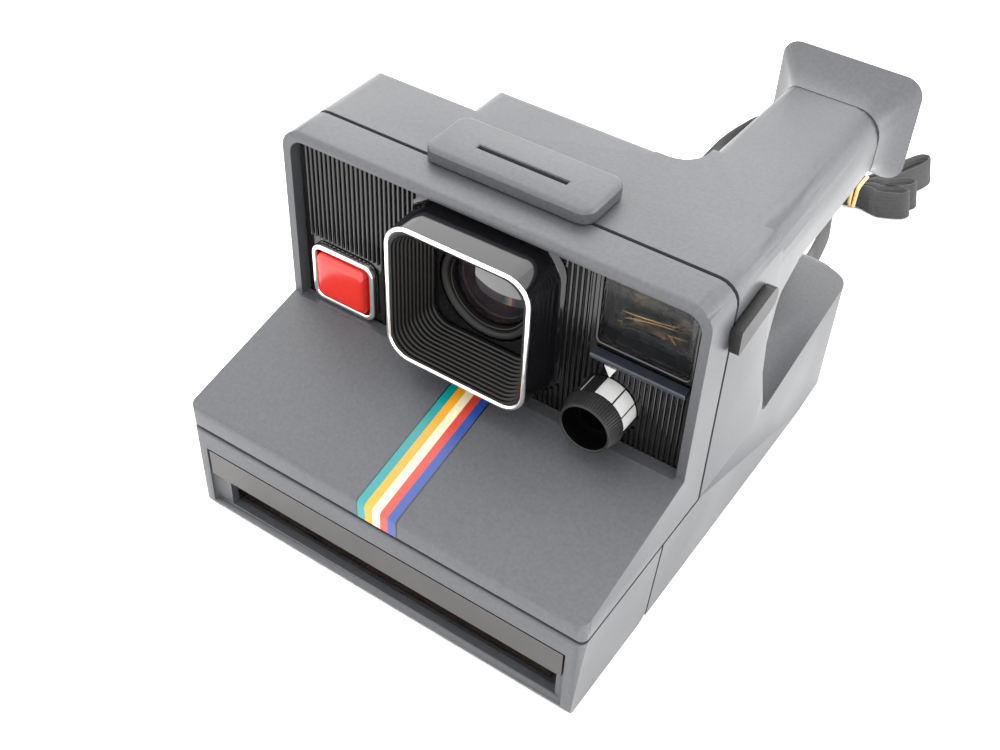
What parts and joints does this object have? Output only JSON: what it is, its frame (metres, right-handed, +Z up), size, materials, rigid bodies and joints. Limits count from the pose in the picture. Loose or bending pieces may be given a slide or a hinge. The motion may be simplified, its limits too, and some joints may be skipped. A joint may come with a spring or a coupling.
{
  "type": "instant camera",
  "caption": "Box-type instant camera with square lens hood, red shutter button, viewfinder tube, drop-down film door with rollers and a bundled neck strap.",
  "frame": {"origin": "on the base that the camera stands on, in the middle of the width, under the front of the face frame", "axes": "+X to the viewer's right when facing the lens, +Y from the lens to the rear, +Z up"},
  "size_m": [0.1165, 0.2586, 0.0971],
  "materials": {
    "shell": "fine spark texture, charcoal",
    "face": "fine vertical ribs, semi-gloss black",
    "gloss_black": "polished black",
    "chrome": "plated plastic trim",
    "red": "polished red",
    "clear": "clear",
    "white": "satin white",
    "dark_rubber": "matte black",
    "steel": "brushed",
    "gear": "natural acetal",
    "brass": "plain",
    "board": "green laminate",
    "mirror": "front-silvered",
    "strap": "flat woven nylon"
  },
  "bodies": {
    "camera_body": {"rear_housing": "shell", "front_cover": "shell", "face_plate": "face", "lens_hood": "gloss_black", "hood_rim": "chrome", "lens_cell": "gloss_black", "taking_lens": "clear", "button_frame": "chrome", "light_sensor": "clear", "viewfinder_front_lens": "clear", "viewfinder_visor": "gloss_black", "viewfinder_tunnel": "gloss_black", "viewfinder_eye_lens": "clear", "eyecup": "shell", "flash_socket": "shell", "flash_contacts": "gloss_black", "side_clip": "dark_rubber", "drive_motor": "steel", "shutter_base": "gloss_black", "shutter_solenoid": "brass", "circuit_board": "board", "taking_mirror": "mirror", "film_gate": "dark_rubber", "battery_contact_right": "brass", "battery_contact_left": "brass", "counter_window": "clear", "strap_lug_right": "shell", "strap_lug_left": "shell", "neck_strap_right": "strap", "neck_strap_left": "strap", "neck_strap_hank": "strap"},
    "shutter_button": {"shutter_button": "red", "button_spring": "steel"},
    "exposure_dial": {"exposure_dial": "dark_rubber", "exposure_scale": "white"},
    "film_door": {"film_door": "shell", "door_name_strip": "gloss_black", "exit_guide": "gloss_black", "roller_bracket_right": "steel", "roller_bracket_left": "steel", "hinge_pin_right": "steel", "hinge_pin_left": "steel"},
    "lower_roller": {"lower_roller": "steel"},
    "upper_roller": {"upper_roller": "steel", "roller_gear": "gear"},
    "drive_gear": {"drive_gear": "gear"},
    "transfer_gear": {"transfer_gear": "gear"},
    "reduction_gear": {"reduction_gear": "gear"},
    "motor_pinion": {"motor_pinion": "brass"},
    "shutter_blade_right": {"shutter_blade_right": "steel"},
    "shutter_blade_left": {"shutter_blade_left": "steel"},
    "pick_arm": {"pick_arm": "steel"},
    "frame_counter": {"frame_counter": "white"},
    "door_latch": {"door_latch": "dark_rubber"}
  },
  "joints": [
    {"name": "shutter_press", "type": "slide", "parent": "camera_body", "child": "shutter_button", "axis": [0, 1, 0], "range_m": [0, 0.0018], "stiffness_N_per_m": 300, "springref_m": -0.0008},
    {"name": "exposure_turn", "type": "hinge", "parent": "camera_body", "child": "exposure_dial", "pos_m": [0.0338, 0, 0.0531], "axis": [0, 1, 0], "range_deg": [-40, 40]},
    {"name": "film_door_open", "type": "hinge", "parent": "camera_body", "child": "film_door", "pos_m": [0, -0.0092, 0.0032], "axis": [1, 0, 0], "range_deg": [0, 80]},
    {"name": "lower_roller_spin", "type": "hinge", "parent": "film_door", "child": "lower_roller", "pos_m": [0, -0.023, 0.0069], "axis": [1, 0, 0], "continuous": true},
    {"name": "upper_roller_spin", "type": "hinge", "parent": "film_door", "child": "upper_roller", "pos_m": [0, -0.023, 0.0156], "axis": [1, 0, 0], "continuous": true},
    {"name": "drive_gear_spin", "type": "hinge", "parent": "camera_body", "child": "drive_gear", "pos_m": [0.0504, 0.0043, 0.0241], "axis": [1, 0, 0], "continuous": true},
    {"name": "transfer_gear_spin", "type": "hinge", "parent": "camera_body", "child": "transfer_gear", "pos_m": [0.0504, -0.0102, 0.0156], "axis": [1, 0, 0], "continuous": true},
    {"name": "reduction_gear_spin", "type": "hinge", "parent": "camera_body", "child": "reduction_gear", "pos_m": [0.0504, 0.0166, 0.0367], "axis": [1, 0, 0], "continuous": true},
    {"name": "motor_pinion_spin", "type": "hinge", "parent": "camera_body", "child": "motor_pinion", "pos_m": [0.0504, 0.0253, 0.045], "axis": [1, 0, 0], "continuous": true},
    {"name": "shutter_blade_right_slide", "type": "slide", "parent": "camera_body", "child": "shutter_blade_right", "axis": [1, 0, 0], "range_m": [0, 0.006]},
    {"name": "shutter_blade_left_slide", "type": "slide", "parent": "camera_body", "child": "shutter_blade_left", "axis": [-1, 0, 0], "range_m": [0, 0.006]},
    {"name": "pick_slide", "type": "slide", "parent": "camera_body", "child": "pick_arm", "axis": [0, -1, 0], "range_m": [0, 0.008]},
    {"name": "frame_counter_turn", "type": "hinge", "parent": "camera_body", "child": "frame_counter", "pos_m": [-0.026, 0.0991, 0.0304], "axis": [1, 0, 0], "range_deg": [0, 330]},
    {"name": "door_latch_slide", "type": "slide", "parent": "camera_body", "child": "door_latch", "axis": [0, 1, 0], "range_m": [0, 0.004], "stiffness_N_per_m": 120}
  ],
  "couplings": [
    {"joint": "lower_roller_spin", "follows": "upper_roller_spin", "ratio": -1},
    {"joint": "transfer_gear_spin", "follows": "upper_roller_spin", "ratio": -0.77778},
    {"joint": "drive_gear_spin", "follows": "upper_roller_spin", "ratio": 0.58333},
    {"joint": "reduction_gear_spin", "follows": "upper_roller_spin", "ratio": -0.7},
    {"joint": "motor_pinion_spin", "follows": "upper_roller_spin", "ratio": 1.4},
    {"joint": "shutter_blade_left_slide", "follows": "shutter_blade_right_slide", "ratio": 1}
  ]
}
